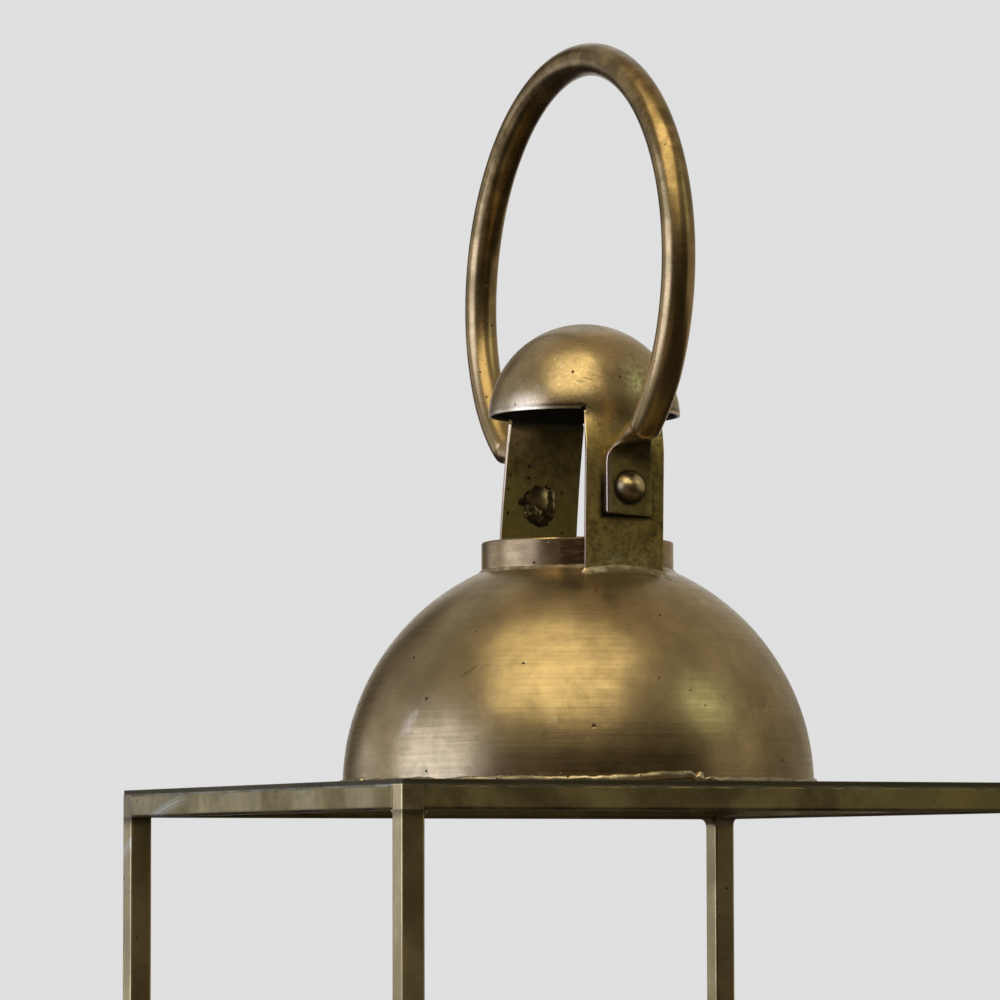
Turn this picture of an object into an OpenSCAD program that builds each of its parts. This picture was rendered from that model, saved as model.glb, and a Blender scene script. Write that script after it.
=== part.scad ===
// Candle lantern: an open square frame of brass bar carries a roof sheet, a spun dome, a chimney
// collar and a vented cap. A round-bar ring, riveted to the cap's two straps, carries the lantern.
// The origin is the centre of the footprint on the ground. X is left to right, Y front to back.

/* [Frame] */
// Side of the square frame, across the outer faces of the posts
frame_w = 300; // [280:5:360]
// Height from the ground to the top of the roof sheet
body_h = 400; // [300:10:560]
// Side of the square bar used for posts and rails
bar_w = 10; // [8:0.5:14]
// Radius of the bar's rounded edges
bar_edge_r = 1.2; // [0.5:0.1:2.5]

/* [Roof] */
// Thickness of the roof sheet
roof_t = 2; // [1:0.1:3]
// Diameter of the hole in the roof sheet under the dome
roof_vent_d = 150; // [80:5:170]
// Radius of the roof sheet's corners
roof_corner_r = 2; // [0.5:0.5:5]

/* [Dome and chimney] */
// Outer diameter of the hemispherical dome
dome_d = 201.2; // [190:0.2:220]
// Wall of the dome
dome_t = 1.2; // [0.8:0.1:2]
// Outer diameter of the chimney collar
collar_d = 82.2; // [70:0.2:82.2]
// Wall of the collar
collar_t = 1.8; // [1.2:0.1:2.4]
// Height of the collar's lip above the roof
collar_top = 104.4; // [102:0.2:110]

/* [Cap and straps] */
// Outer diameter of the cap
cap_d = 82.4; // [80:0.2:83]
// Wall of the cap and of its straps
cap_t = 1.6; // [1.2:0.1:2]
// Height of the cap's rim above the roof
cap_rim = 158.8; // [154:0.2:164]
// Height of the rim above the centre of the cap's sphere
cap_cut = 1.5; // [0:0.1:4]
// Sideways set of the hand-fitted cap from the axis of the dome
cap_x = 3.5; // [0:0.1:4]
// Width of a strap
strap_w = 36.5; // [28:0.5:40]
// Distance between the outer faces of the two straps
strap_span = 85.8; // [85.8:0.1:88]
// Sideways set of the straps' feet from the axis of the dome
strap_foot_x = 0.8; // [0:0.1:4]
// Height above the roof at which the flat straps start to curve into the cap
strap_flat_top = 142; // [140:0.5:148]
// Radius of the relief holes in the corners between straps and rim
relief_r = 1.1; // [0.6:0.1:2]

/* [Ring handle] */
// Diameter of the ring's round bar
rod_d = 14; // [12:0.5:15]
// Radius of the ring to the middle of the bar
ring_r = 96.1; // [92:0.1:100]
// Height of the ring's centre above the roof
ring_z = 216.4; // [212:0.2:220]
// Sideways set of the ring's plane from the axis of the dome
ring_x = -0.4; // [-2:0.1:2]
// Lean of the ring to the right, in degrees
ring_lean = 0.65; // [0:0.05:1]
// Radius of the tighter bend at each end of the ring
hook_r = 67.9; // [62:0.1:72]
// Where the tighter bend starts, in degrees from the ring's lowest point
hook_from = 61; // [56:1:66]
// Where the tighter bend ends, in degrees from its own lowest point
hook_to = 17; // [15:1:20]
// Where the bar starts to widen, in degrees like those of the tighter bend
forge_from = 34; // [30:1:40]
// Height above the roof of the shoulder where the bar is forged down to a tab
shoulder_z = 143.5; // [142.5:0.1:144.5]
// Width of a tab
tab_w = 21.2; // [18:0.2:23]
// Thickness of a tab
tab_t = 3.4; // [2.5:0.1:4]
// Depth of a tab below the rivet
tab_drop = 11.6; // [9:0.2:14]
// Slope of the tab's hand-cut lower edge, in degrees
tab_skew = 3; // [0:0.5:8]

/* [Rivets] */
// Height of the rivets above the roof
rivet_z = 125; // [123:0.5:128]
// Sideways set of the rivets from the axis of the dome
rivet_x = 1.7; // [0:0.1:3]
// Diameter of a rivet's shank
rivet_d = 6; // [4:0.5:7]
// Diameter of a rivet's round head
head_d = 13.4; // [10:0.1:15]
// Height of a rivet's head
head_h = 6.2; // [3:0.1:7]
// Diameter of the hammered end inside the strap
peen_d = 15; // [10:0.5:18]
// Height of the hammered end
peen_h = 2.5; // [1.5:0.1:3]

/* [Candle holder] */
// Thickness of the floor sheet
floor_t = 1.5; // [1:0.1:3]
// Outer diameter of the candle dish
dish_d = 124; // [90:2:160]
// Height of the candle dish
dish_h = 12; // [8:1:20]
// Wall of the candle dish
dish_t = 1.2; // [0.8:0.1:2]
// Height of the candle spike above its foot
spike_h = 32; // [20:1:45]
// Diameter of the spike's threaded stud
stud_d = 5; // [4:0.5:6]

/* [Hidden] */
$fn = 96;

// Gap between the tab and the faces it turns against
turn_gap = 0.1;
// How much thinner in radius the bar is drawn at its bent ends
hook_draw = 0.2;
// Radial running clearance of the tab on the rivet
pin_gap = 0.05;
// How far the wall of the candle dish leans out from its foot to its rim
dish_lean = 5;
// Foot of the candle spike
foot_d = 14;
foot_h = 2;
spike_tip_r = 0.6;
// Nut under the floor sheet
nut_flats = 8;
nut_h = 4;
// How far the stud shows below the nut
stud_end = 1;
// How far the floor sheet stands back from the outer faces of the frame
floor_set_in = 1;
// Gap round the posts in the corner notches of the floor sheet
notch_gap = 0.2;
// Spare length of the straps that the dome's surface cuts off
strap_spare = 8;
// How far the bar's end and the tab run into each other
lap = 1;
// Small overlap that makes cuts pass right through
eps = 0.5;

half = frame_w / 2;
rail_l = frame_w - 2 * bar_w;
rail_mid = half - bar_w / 2;
under_roof = body_h - roof_t;
dome_r = dome_d / 2;
collar_r = collar_d / 2;
cap_r = cap_d / 2;
strap_out = strap_span / 2;
strap_in = strap_out - cap_t;
tab_in = strap_out + turn_gap;
tab_out = tab_in + tab_t;
head_in = tab_out + turn_gap;
rod_r = rod_d / 2;
// How far the centre of the tighter bend lies inside the ring's own
set_in = ring_r - hook_r;
// Height of the dome's surface under the middle of a strap
strap_foot_z = sqrt(pow(dome_r, 2) - pow(strap_out, 2));
strap_slope = (cap_x - strap_foot_x) / (cap_rim - strap_foot_z);
floor_z = bar_w + floor_t;

brass = [0.55, 0.45, 0.28];
brass_light = [0.66, 0.55, 0.36];
brass_dark = [0.40, 0.34, 0.20];
iron = [0.32, 0.30, 0.28];

// ---- square bar stock ----

module rounded_square(w, r) {
    square([w - 2 * r, w], center = true);
    square([w, w - 2 * r], center = true);
    for (x = [-1, 1], y = [-1, 1])
        translate([x * (w / 2 - r), y * (w / 2 - r)])
            circle(r, $fn = 32);
}

module bar(length) {
    linear_extrude(length) rounded_square(bar_w, bar_edge_r);
}

module post(side_x, side_y) {
    color(brass)
        translate([side_x * rail_mid, side_y * rail_mid, 0])
            bar(under_roof);
}

// A rail lies along X between two posts; the side rails are turned a quarter.
module rail(turn, z) {
    color(brass)
        rotate(turn)
            translate([-rail_l / 2, -rail_mid, z])
                rotate([90, 0, 90])
                    bar(rail_l);
}

module top_rail(turn) {
    rail(turn, under_roof - bar_w / 2);
}

module bottom_rail(turn) {
    rail(turn, bar_w / 2);
}

// ---- roof, dome and chimney ----

module roof_plate() {
    color(brass_light)
        translate([0, 0, under_roof])
            linear_extrude(roof_t)
                difference() {
                    rounded_square(frame_w, roof_corner_r);
                    circle(d = roof_vent_d);
                }
}

module dome() {
    color(brass_light)
        translate([0, 0, body_h])
            rotate_extrude()
                difference() {
                    intersection() {
                        circle(dome_r);
                        square(dome_r + eps);
                    }
                    circle(dome_r - dome_t);
                    square([collar_r, dome_r + eps]);
                }
}

// Plain tube with a lip rounded over, let into the hole in the top of the dome.
module chimney_collar() {
    lip_r = collar_t / 2;
    collar_foot = sqrt(pow(dome_r - dome_t, 2) - pow(collar_r, 2)) - dome_t;
    color(brass_light)
        translate([0, 0, body_h])
            rotate_extrude()
                union() {
                    translate([collar_r - collar_t, collar_foot])
                        square([collar_t, collar_top - lip_r - collar_foot]);
                    translate([collar_r - lip_r, collar_top - lip_r])
                        circle(lip_r, $fn = 32);
                }
}

// ---- cap with its two straps, one piece ----

// The front strap stands plumb; the back one leans sideways to meet the cap.
function strap_x(z, leans) = strap_foot_x + (leans ? strap_slope * (z - strap_foot_z) : 0);

module strap_flat(leans) {
    foot = strap_foot_z - strap_spare;
    foot_x = strap_x(foot, leans);
    top_x = strap_x(strap_flat_top, leans);
    translate([0, -strap_in, 0])
        rotate([90, 0, 0])
            linear_extrude(cap_t)
                polygon([
                    [foot_x - strap_w / 2, foot],
                    [foot_x + strap_w / 2, foot],
                    [top_x + strap_w / 2, strap_flat_top],
                    [top_x - strap_w / 2, strap_flat_top]
                ]);
}

// Solid between a flat face low down and the cap's curve at the rim, set inwards by an inset.
module strap_blend(leans, inset, width) {
    depth = 14;
    slice = 0.1;
    hull() {
        translate([strap_x(strap_flat_top, leans) - width / 2, inset - strap_out, strap_flat_top])
            cube([width, depth, slice]);
        translate([cap_x, 0, cap_rim])
            linear_extrude(slice)
                intersection() {
                    circle(cap_r - inset);
                    translate([-width / 2, inset - cap_r - eps])
                        square([width, depth]);
                }
    }
}

module strap(leans) {
    strap_flat(leans);
    difference() {
        strap_blend(leans, 0, strap_w);
        strap_blend(leans, cap_t, strap_w + 2 * eps);
    }
}

module cap_shell() {
    translate([cap_x, 0, cap_rim - cap_cut])
        difference() {
            sphere(cap_r);
            sphere(cap_r - cap_t);
            translate([-cap_r - eps, -cap_r - eps, -cap_r - eps])
                cube([cap_d + 2 * eps, cap_d + 2 * eps, cap_r + eps + cap_cut]);
        }
}

module chimney_cap() {
    color(brass)
        translate([0, 0, body_h])
            difference() {
                union() {
                    cap_shell();
                    strap(false);
                    mirror([0, 1, 0]) strap(true);
                }
                sphere(dome_r);
                translate([rivet_x, 0, rivet_z])
                    rotate([90, 0, 0])
                        cylinder(h = strap_span + 2 * eps, d = rivet_d, center = true);
                for (side = [-1, 1])
                    translate([cap_x + side * strap_w / 2, 0, cap_rim])
                        rotate([90, 0, 0])
                            cylinder(h = strap_span + 2 * eps, r = relief_r, center = true, $fn = 32);
            }
}

// ---- rivets ----

// Round head outside the tab, shank through tab and strap, hammered end inside the strap.
module rivet() {
    peen_r = (pow(peen_d / 2, 2) + pow(peen_h, 2)) / (2 * peen_h);
    color(brass_light)
        translate([rivet_x, 0, body_h + rivet_z])
            rotate([90, 0, 0])
                union() {
                    translate([0, 0, strap_in - eps])
                        cylinder(h = head_in - strap_in + 2 * eps, d = rivet_d);
                    translate([0, 0, head_in])
                        intersection() {
                            translate([0, 0, head_h - head_d / 2]) sphere(d = head_d);
                            cylinder(h = head_h + eps, d = head_d + eps);
                        }
                    translate([0, 0, strap_in - peen_h])
                        intersection() {
                            translate([0, 0, peen_r]) sphere(peen_r);
                            cylinder(h = peen_h, d = peen_d + eps);
                        }
                }
}

// ---- ring handle ----

// Stretch of round bar bent to a radius, in the YZ plane; degrees run from the lowest point
// towards the front.
module bent_bar(radius, bar_r, from, to) {
    rotate([90, 0, -90])
        rotate(-90 + from)
            rotate_extrude(angle = to - from)
                translate([radius, 0])
                    circle(bar_r, $fn = 48);
}

// Bend towards the strap, drawn a little thinner; its centre lies inside the ring's own, so that
// the two bends run smoothly on.
module hook() {
    translate([0, -set_in * sin(hook_from), -set_in * cos(hook_from)])
        bent_bar(hook_r, rod_r - hook_draw, hook_to, hook_from);
}

module ring_bars() {
    translate([ring_x, 0, ring_z])
        rotate([0, ring_lean, 0])
            union() {
                bent_bar(ring_r, rod_r, hook_from, 360 - hook_from);
                hook();
                mirror([0, 1, 0]) hook();
            }
}

// Widening of the bar where it is forged down towards the tab.
module forging() {
    hull() {
        translate([ring_x, -set_in * sin(hook_from), ring_z - set_in * cos(hook_from)])
            rotate([-forge_from, 0, 0])
                translate([0, 0, -hook_r])
                    rotate([90, 0, 0])
                        cylinder(h = lap, r = rod_r, $fn = 32);
        translate([rivet_x - tab_w / 2, -tab_out, shoulder_z - eps])
            cube([tab_w, tab_t, eps + lap]);
    }
}

// Flat tab, drawn from the front with its top running up behind the shoulder.
module tab() {
    low = rivet_z - tab_drop;
    drop = tab_w * tan(tab_skew) / 2;
    translate([rivet_x, -tab_in, 0])
        rotate([90, 0, 0])
            linear_extrude(tab_t)
                polygon([
                    [-tab_w / 2, low + drop],
                    [tab_w / 2, low - drop],
                    [tab_w / 2, shoulder_z + lap],
                    [-tab_w / 2, shoulder_z + lap]
                ]);
}

module ring_handle() {
    reach = ring_r + rod_d;
    color(brass)
        translate([0, 0, body_h])
            difference() {
                union() {
                    intersection() {
                        union() {
                            ring_bars();
                            forging();
                            mirror([0, 1, 0]) forging();
                        }
                        translate([-reach, -reach, shoulder_z])
                            cube([2 * reach, 2 * reach, ring_z + reach - shoulder_z]);
                    }
                    tab();
                    mirror([0, 1, 0]) tab();
                }
                translate([-reach, -tab_in, shoulder_z - eps])
                    cube([2 * reach, 2 * tab_in, 2 * rod_d]);
                translate([rivet_x, 0, rivet_z])
                    rotate([90, 0, 0])
                        cylinder(h = 2 * head_in + 2 * eps, r = rivet_d / 2 + pin_gap, center = true);
            }
}

// ---- floor and candle holder ----

// Sheet laid on the bottom rails, notched round the posts.
module floor_plate() {
    color(brass_dark)
        translate([0, 0, bar_w])
            linear_extrude(floor_t)
                difference() {
                    square(frame_w - 2 * floor_set_in, center = true);
                    for (x = [-1, 1], y = [-1, 1])
                        translate([x * half, y * half])
                            square(2 * (bar_w + notch_gap), center = true);
                    circle(d = stud_d);
                }
}

module candle_dish() {
    rim_r = dish_d / 2;
    well_r = rim_r - dish_lean;
    color(brass_dark)
        translate([0, 0, floor_z])
            rotate_extrude()
                difference() {
                    union() {
                        polygon([
                            [0, 0],
                            [well_r, 0],
                            [rim_r - dish_t / 2, dish_h - dish_t],
                            [rim_r - dish_t * 1.5, dish_h - dish_t],
                            [well_r - dish_t, dish_t],
                            [0, dish_t]
                        ]);
                        translate([rim_r - dish_t, dish_h - dish_t])
                            circle(dish_t, $fn = 32);
                    }
                    square([stud_d / 2, dish_t * 2 + eps]);
                }
}

module candle_spike() {
    foot_z = floor_z + dish_t;
    stud_low = bar_w - nut_h - stud_end;
    color(iron)
        union() {
            translate([0, 0, stud_low])
                cylinder(h = foot_z - stud_low + eps, d = stud_d);
            translate([0, 0, foot_z])
                cylinder(h = foot_h, d = foot_d);
            translate([0, 0, foot_z + foot_h])
                cylinder(h = spike_h, r1 = stud_d / 2, r2 = spike_tip_r);
        }
}

module spike_nut() {
    color(iron)
        translate([0, 0, bar_w - nut_h])
            linear_extrude(nut_h)
                difference() {
                    circle(d = nut_flats / cos(30), $fn = 6);
                    circle(d = stud_d);
                }
}

post(-1, -1);  // post_front_left
post(1, -1);  // post_front_right
post(-1, 1);  // post_back_left
post(1, 1);  // post_back_right
top_rail(0);  // top_rail_front
top_rail(180);  // top_rail_back
top_rail(-90);  // top_rail_left
top_rail(90);  // top_rail_right
bottom_rail(0);  // bottom_rail_front
bottom_rail(180);  // bottom_rail_back
bottom_rail(-90);  // bottom_rail_left
bottom_rail(90);  // bottom_rail_right
roof_plate();
dome();
chimney_collar();
chimney_cap();
rivet();  // rivet_front
mirror([0, 1, 0]) rivet();  // rivet_back
ring_handle();
floor_plate();
candle_dish();
candle_spike();
spike_nut();
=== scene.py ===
import bpy, bmesh, math
from mathutils import Matrix, Vector, noise


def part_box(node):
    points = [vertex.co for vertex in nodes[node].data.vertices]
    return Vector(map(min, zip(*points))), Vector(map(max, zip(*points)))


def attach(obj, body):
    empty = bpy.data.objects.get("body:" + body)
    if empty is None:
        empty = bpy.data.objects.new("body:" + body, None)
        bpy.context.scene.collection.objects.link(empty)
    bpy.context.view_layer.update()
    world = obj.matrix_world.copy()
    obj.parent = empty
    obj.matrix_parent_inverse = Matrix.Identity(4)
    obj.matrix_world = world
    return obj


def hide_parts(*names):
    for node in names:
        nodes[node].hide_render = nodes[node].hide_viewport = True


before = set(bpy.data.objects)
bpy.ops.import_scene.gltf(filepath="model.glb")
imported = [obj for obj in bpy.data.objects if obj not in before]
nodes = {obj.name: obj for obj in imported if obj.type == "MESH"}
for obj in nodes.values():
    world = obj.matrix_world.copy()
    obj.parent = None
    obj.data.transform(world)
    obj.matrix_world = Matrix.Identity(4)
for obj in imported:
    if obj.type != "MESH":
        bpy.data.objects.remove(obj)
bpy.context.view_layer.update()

# Camera
# It stands off the lantern's left front corner, a little below the roof, and looks slightly up
# at the dome, the cap and the ring.


def turned(degrees, axis):
    return Matrix.Rotation(math.radians(degrees), 4, axis)


camera = bpy.data.objects.new("camera", bpy.data.cameras.new("camera"))
bpy.context.scene.collection.objects.link(camera)
bpy.context.scene.camera = camera
camera.data.sensor_width = 36
camera.data.lens = 179.68
camera.data.clip_start = 0.05
camera.matrix_world = (
    Matrix.Translation((-0.9443, -1.9141, 0.3639))
    @ turned(-25.37, "Z")
    @ turned(94.26, "X")
    @ turned(-0.12, "Z")
)

# Surround and light
# An even pale surround. A high panel in front, a window panel on the left and a weak panel on
# the right light the metal. Cards that only the metal sees stand round it: a dim room, paler at
# the left and the back, with a dark front and a dark ground.
bpy.context.scene.view_settings.view_transform = "Standard"
surround = bpy.data.worlds.new("surround")
bpy.context.scene.world = surround
surround.use_nodes = True


class Amount:
    """A node's output, which can be added, multiplied and compared like a number."""

    def __init__(self, socket):
        self.socket = socket

    def __add__(self, other):
        return sum_of("ADD", self, other)

    def __sub__(self, other):
        return sum_of("SUBTRACT", self, other)

    def __rsub__(self, other):
        return sum_of("SUBTRACT", other, self)

    def __mul__(self, other):
        return sum_of("MULTIPLY", self, other)

    def __truediv__(self, other):
        return sum_of("DIVIDE", self, other)

    def __rtruediv__(self, other):
        return sum_of("DIVIDE", other, self)

    def __lt__(self, other):
        return sum_of("LESS_THAN", self, other)

    def __gt__(self, other):
        return sum_of("GREATER_THAN", self, other)

    def __abs__(self):
        return sum_of("ABSOLUTE", self)


def fill(socket, value):
    """Gives a socket a number, a vector or colour, or another node's output."""
    if isinstance(value, Amount):
        value.socket.id_data.links.new(value.socket, socket)
    elif isinstance(value, tuple) and len(value) < len(socket.default_value):
        socket.default_value = (*value, 1)
    elif value is not None:
        socket.default_value = value


def place(tree, kind, *inputs, **settings):
    """Adds a node and fills its inputs in order."""
    node = tree.nodes.new("ShaderNode" + kind)
    for name, value in settings.items():
        setattr(node, name, value)
    for socket, value in zip(node.inputs, inputs):
        fill(socket, value)
    return node


def put(node, **inputs):
    """Fills a node's inputs by name."""
    for name, value in inputs.items():
        fill(node.inputs[name.replace("_", " ")], value)
    return node


def out_of(node, which=0):
    return Amount(node.outputs[which])


def tree_of(values):
    """The node tree that holds the first output among some values."""
    return next(v for v in values if isinstance(v, Amount)).socket.id_data


def sum_of(operation, *values):
    """A math node on numbers and other nodes' outputs."""
    return out_of(place(tree_of(values), "Math", *values, operation=operation))


def most(first, *others):
    """The largest of some numbers."""
    for other in others:
        first = sum_of("MAXIMUM", first, other)
    return first


tree = surround.node_tree
tree.nodes.clear()
rays = place(tree, "LightPath")
mirrored = most(out_of(rays, "Is Glossy Ray"), out_of(rays, "Is Transmission Ray"))
seen = most(out_of(rays, "Is Camera Ray"), mirrored)
pale_air = place(tree, "Background", (0.74, 0.74, 0.742), 1)
warm_fill = place(tree, "Background", (0.80, 0.78, 0.74), 0.55)
both = place(tree, "MixShader", seen, out_of(warm_fill), out_of(pale_air))
put(place(tree, "OutputWorld"), Surface=out_of(both))

lit_point = Vector((0, 0, 0.47))
camera_side, panel_away = -116.2, 2.2


def direction(turn, rise=0):
    """A unit vector turned from the camera's side and raised, both in degrees."""
    turn, rise = math.radians(turn + camera_side), math.radians(rise)
    return Vector((math.cos(turn) * math.cos(rise), math.sin(turn) * math.cos(rise), math.sin(rise)))


def panel(name, turn, rise, wide, high, power, tint):
    """A soft panel that faces the lantern."""
    lamp = bpy.data.lights.new(name, "AREA")
    lamp.shape = "RECTANGLE"
    lamp.size, lamp.size_y = wide, high
    lamp.energy = power
    lamp.color = tint
    lit = bpy.data.objects.new(name, lamp)
    bpy.context.scene.collection.objects.link(lit)
    lit.location = lit_point + panel_away * direction(turn, rise)
    lit.rotation_euler = (lit_point - lit.location).to_track_quat("-Z", "Y").to_euler()


panel("high_front_panel", -15, 56, 2.3, 1.9, 29, (1.0, 0.90, 0.58))
panel("left_window_panel", -74, 9, 1.7, 1.35, 15, (0.88, 1.03, 1.50))
panel("right_window_panel", 73, 31, 0.8, 0.7, 1.7, (0.84, 1.0, 0.66))


def stood(name, shape, material):
    """Turns a finished bmesh into an object that holds its place in its mesh."""
    data = bpy.data.meshes.new(name)
    shape.to_mesh(data)
    shape.free()
    thing = bpy.data.objects.new(name, data)
    bpy.context.scene.collection.objects.link(thing)
    data.materials.append(material)
    return thing


def matt_paint(name, colour, glow):
    """Matt paint that glows a little. Gives its material and its shader."""
    paint = bpy.data.materials.new(name)
    paint.use_nodes = True
    shader = put(paint.node_tree.nodes["Principled BSDF"], Base_Color=colour, Roughness=0.85,
                 Emission_Color=glow, Emission_Strength=1)
    return paint, shader


disc = bmesh.new()
bmesh.ops.create_circle(disc, cap_ends=True, segments=96, radius=2.6)
floor_paint, floor_shader = matt_paint("floor_paint", (0.66, 0.66, 0.65), (0.25, 0.25, 0.25))
put(floor_shader, Emission_Strength=out_of(place(floor_paint.node_tree, "LightPath"), "Is Camera Ray"))
stood("floor", disc, floor_paint)


def card(name, shape, glow):
    """A card that only the metal sees, so that it reflects a dim room."""
    made = stood(name, shape, matt_paint(name + "_paint", (0.02, 0.015, 0.01), glow)[0])
    made.visible_camera = made.visible_shadow = made.visible_diffuse = False


def verts_of(geom):
    return [v for v in geom if isinstance(v, bmesh.types.BMVert)]


card_foot, ceiling = -0.02, 6.0


def curved_card(name, start, sweep, away, top, glow):
    """A card that stands in an arc round the lantern."""
    wall = bmesh.new()
    corner = direction(start) * away + Vector((0, 0, card_foot))
    foot = bmesh.ops.create_vert(wall, co=corner)["vert"]
    bmesh.ops.spin(wall, geom=foot, axis=(0, 0, 1), cent=(0, 0, 0), angle=math.radians(sweep), steps=48)
    raised = bmesh.ops.extrude_edge_only(wall, edges=wall.edges[:])["geom"]
    bmesh.ops.translate(wall, verts=verts_of(raised), vec=(0, 0, top - card_foot))
    card(name, wall, glow)


def flat_card(name, height, glow, radius=3.3, turn=0, away=0):
    sheet = bmesh.new()
    bmesh.ops.create_circle(sheet, cap_ends=True, segments=64, radius=radius)
    bmesh.ops.translate(sheet, verts=sheet.verts[:], vec=direction(turn) * away + Vector((0, 0, height)))
    card(name, sheet, glow)


curved_card("pale_wall_card", -166, 332, 3.35, ceiling, (0.50, 0.46, 0.38))
curved_card("room_card", -150, 300, 3.3, ceiling, (0.37, 0.33, 0.25))
curved_card("left_room_card", -164, 56, 3.28, ceiling, (0.44, 0.43, 0.39))
curved_card("left_wall_card", -136, 24, 3.25, 0.95, (0.80, 0.84, 0.95))
curved_card("front_dark_card", -46, 112, 3.2, 2.1, (0.016, 0.009, 0.001))
curved_card("far_left_dark_card", -158, 24, 3.2, 2.9, (0.06, 0.045, 0.02))
flat_card("ceiling_card", ceiling, (0.37, 0.30, 0.20))
flat_card("ground_card", 0.004, (0.006, 0.003, 0.0005))
flat_card("window_ground_card", 0.008, (0.42, 0.42, 0.43), 0.75, -80, 1.7)
flat_card("front_ground_card", 0.006, (0.14, 0.10, 0.045), 0.95, -38, 1.9)

# Posts and rails
# Square brass bar, 10 mm, sawn to length. The rails butt between the posts and are brazed. The
# bar is dull and brown, with a green-grey bloom, and rubbed bright along its edges.
rail_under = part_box("top_rail_front")[0].z
post_in, bar_mid, bar_out = 0.140, 0.145, 0.150


def vector_of(operation, *values, scale=None):
    """A vector math node. A distance, a length and a dot product are numbers."""
    node = place(tree_of(values), "VectorMath", *values, operation=operation)
    if scale is not None:
        put(node, Scale=scale)
    return out_of(node, "Value" if operation in ("DISTANCE", "LENGTH", "DOT_PRODUCT") else "Vector")


def joined(x=None, y=None, z=None):
    """A vector made from its parts, where a part left out is 0."""
    return out_of(place(tree_of((x, y, z)), "CombineXYZ", x, y, z))


def parts_of(vector):
    split = place(vector.socket.id_data, "SeparateXYZ", vector)
    return [out_of(split, part) for part in range(3)]


def held(value):
    """Keeps a math node's result between 0 and 1."""
    value.socket.node.use_clamp = True
    return value


def eased(value, low, high, start=0.0, end=1.0):
    """Runs smoothly from start to end while value goes from low to high."""
    node = place(value.socket.id_data, "MapRange", value, low, high, start, end,
                 interpolation_type="SMOOTHSTEP")
    return out_of(node)


def faded(value, full, gone):
    """Falls smoothly from 1 to 0."""
    return eased(value, full, gone, 1, 0)


def band(value, low, full, fading, gone):
    """Rises from 0 to 1 between low and full, and falls back between fading and gone."""
    return eased(value, low, full) * faded(value, fading, gone)


def speckle(vector, scale, detail=4.0, rough=0.6, warp=0.0):
    """Cloudy noise."""
    node = place(vector.socket.id_data, "TexNoise")
    return out_of(put(node, Vector=vector, Scale=scale, Detail=detail, Roughness=rough, Distortion=warp), "Fac")


def group(name, gives, **takes):
    """An empty shader group that gives the named numbers. It takes numbers, each with its usual
    value, and a vector where that is None. Returns its tree, what it takes and its end node."""
    made = bpy.data.node_groups.new(name, "ShaderNodeTree")
    for socket, usual in takes.items():
        kind = "NodeSocketVector" if usual is None else "NodeSocketFloat"
        new = made.interface.new_socket(socket, in_out="INPUT", socket_type=kind)
        if usual is not None:
            new.default_value = usual
    for socket in gives.split():
        made.interface.new_socket(socket, in_out="OUTPUT", socket_type="NodeSocketFloat")
    start = made.nodes.new("NodeGroupInput")
    return made, [out_of(start, socket) for socket in takes], made.nodes.new("NodeGroupOutput")


def use(tree, which, **inputs):
    return put(place(tree, "Group", node_tree=which), **inputs)


tarnish, (spot, size), end = group("tarnish", "Blotches Bloom Dust", Vector=None, Size=0.05)
scale = 1.0 / size
broad = speckle(spot, scale, 5, 0.55, 0.4)
fine = speckle(spot, scale * 11.0, 6, 0.72)
drift = speckle(spot, scale * 2.3, 4, 0.6, 1.2)
put(end, Blotches=eased(fine * 0.16 + broad * 0.94, 0.44, 0.70),
    Bloom=eased(drift, 0.56, 0.70) * eased(fine, 0.40, 0.62), Dust=eased(fine, 0.35, 0.75))

pits, (spot, scale, share), end = group("pits", "Pits", Vector=None, Scale=300.0, Share=0.2)
shake = put(place(pits, "TexNoise"), Vector=spot, Scale=900.0, Detail=2.0)
shaken = vector_of("ADD", spot, vector_of("SCALE", out_of(shake, "Color"), scale=0.0016))
cell = put(place(pits, "TexVoronoi"), Vector=shaken, Scale=scale)
hue = place(pits, "SeparateColor", out_of(cell, "Color"))
wide = out_of(hue, 1) * 0.28 + 0.10
depth = held(1.0 - out_of(cell, "Distance") / wide)
put(end, Pits=(out_of(hue) < share) * eased(depth, 0.0, 0.6))

scratches, (spot, scale, share), end = group("scratches", "Scratches", Vector=None, Scale=22.0, Share=0.5)
limit = share * -0.3 + 1.17
lines = []
for turn in ((0.9, 0.5, 0.3), (1.9, 0.9, 2.2), (0.5, 2.5, 1.2)):
    lay = put(place(scratches, "Mapping", vector_type="TEXTURE"), Vector=spot, Rotation=turn,
              Scale=(1, 0.4, 0.011))
    patch = speckle(spot, 31 + 17 * turn[0], 2)
    lines.append(eased(patch * 0.5 + speckle(out_of(lay), scale, 0, 0.0) - limit, 0.0, 0.05))
put(end, Scratches=most(*lines))

rubbing, (reach,), end = group("rubbing", "Edges", Reach=0.001)
rounded = out_of(put(place(rubbing, "Bevel", samples=6), Radius=reach))
agree = vector_of("DOT_PRODUCT", rounded, out_of(place(rubbing, "NewGeometry"), "Normal"))
put(end, Edges=eased(1.0 - agree, 0.01, 0.14))

turning, (spot, about, across), end = group("turning", "Lines", Vector=None, Round=2.0, Across=400.0)
x, y, z = parts_of(spot)
level = joined(x, y)
rise = sum_of("ARCTAN2", z, vector_of("LENGTH", level)) * 0.1
spread = vector_of("SCALE", vector_of("NORMALIZE", level), scale=about)
laid = vector_of("ADD", spread, joined(None, None, rise * across))
put(end, Lines=speckle(laid, 1.0, 3, 0.7) * 0.7 + speckle(laid, 0.21, 2, 0.5) * 0.3)


def blend(first, second, share, mode="MIX"):
    """Mixes two colours."""
    node = place(tree_of((first, second, share)), "Mix", share, data_type="RGBA", blend_type=mode)
    fill(node.inputs[6], first)
    fill(node.inputs[7], second)
    return out_of(node, 2)


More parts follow.
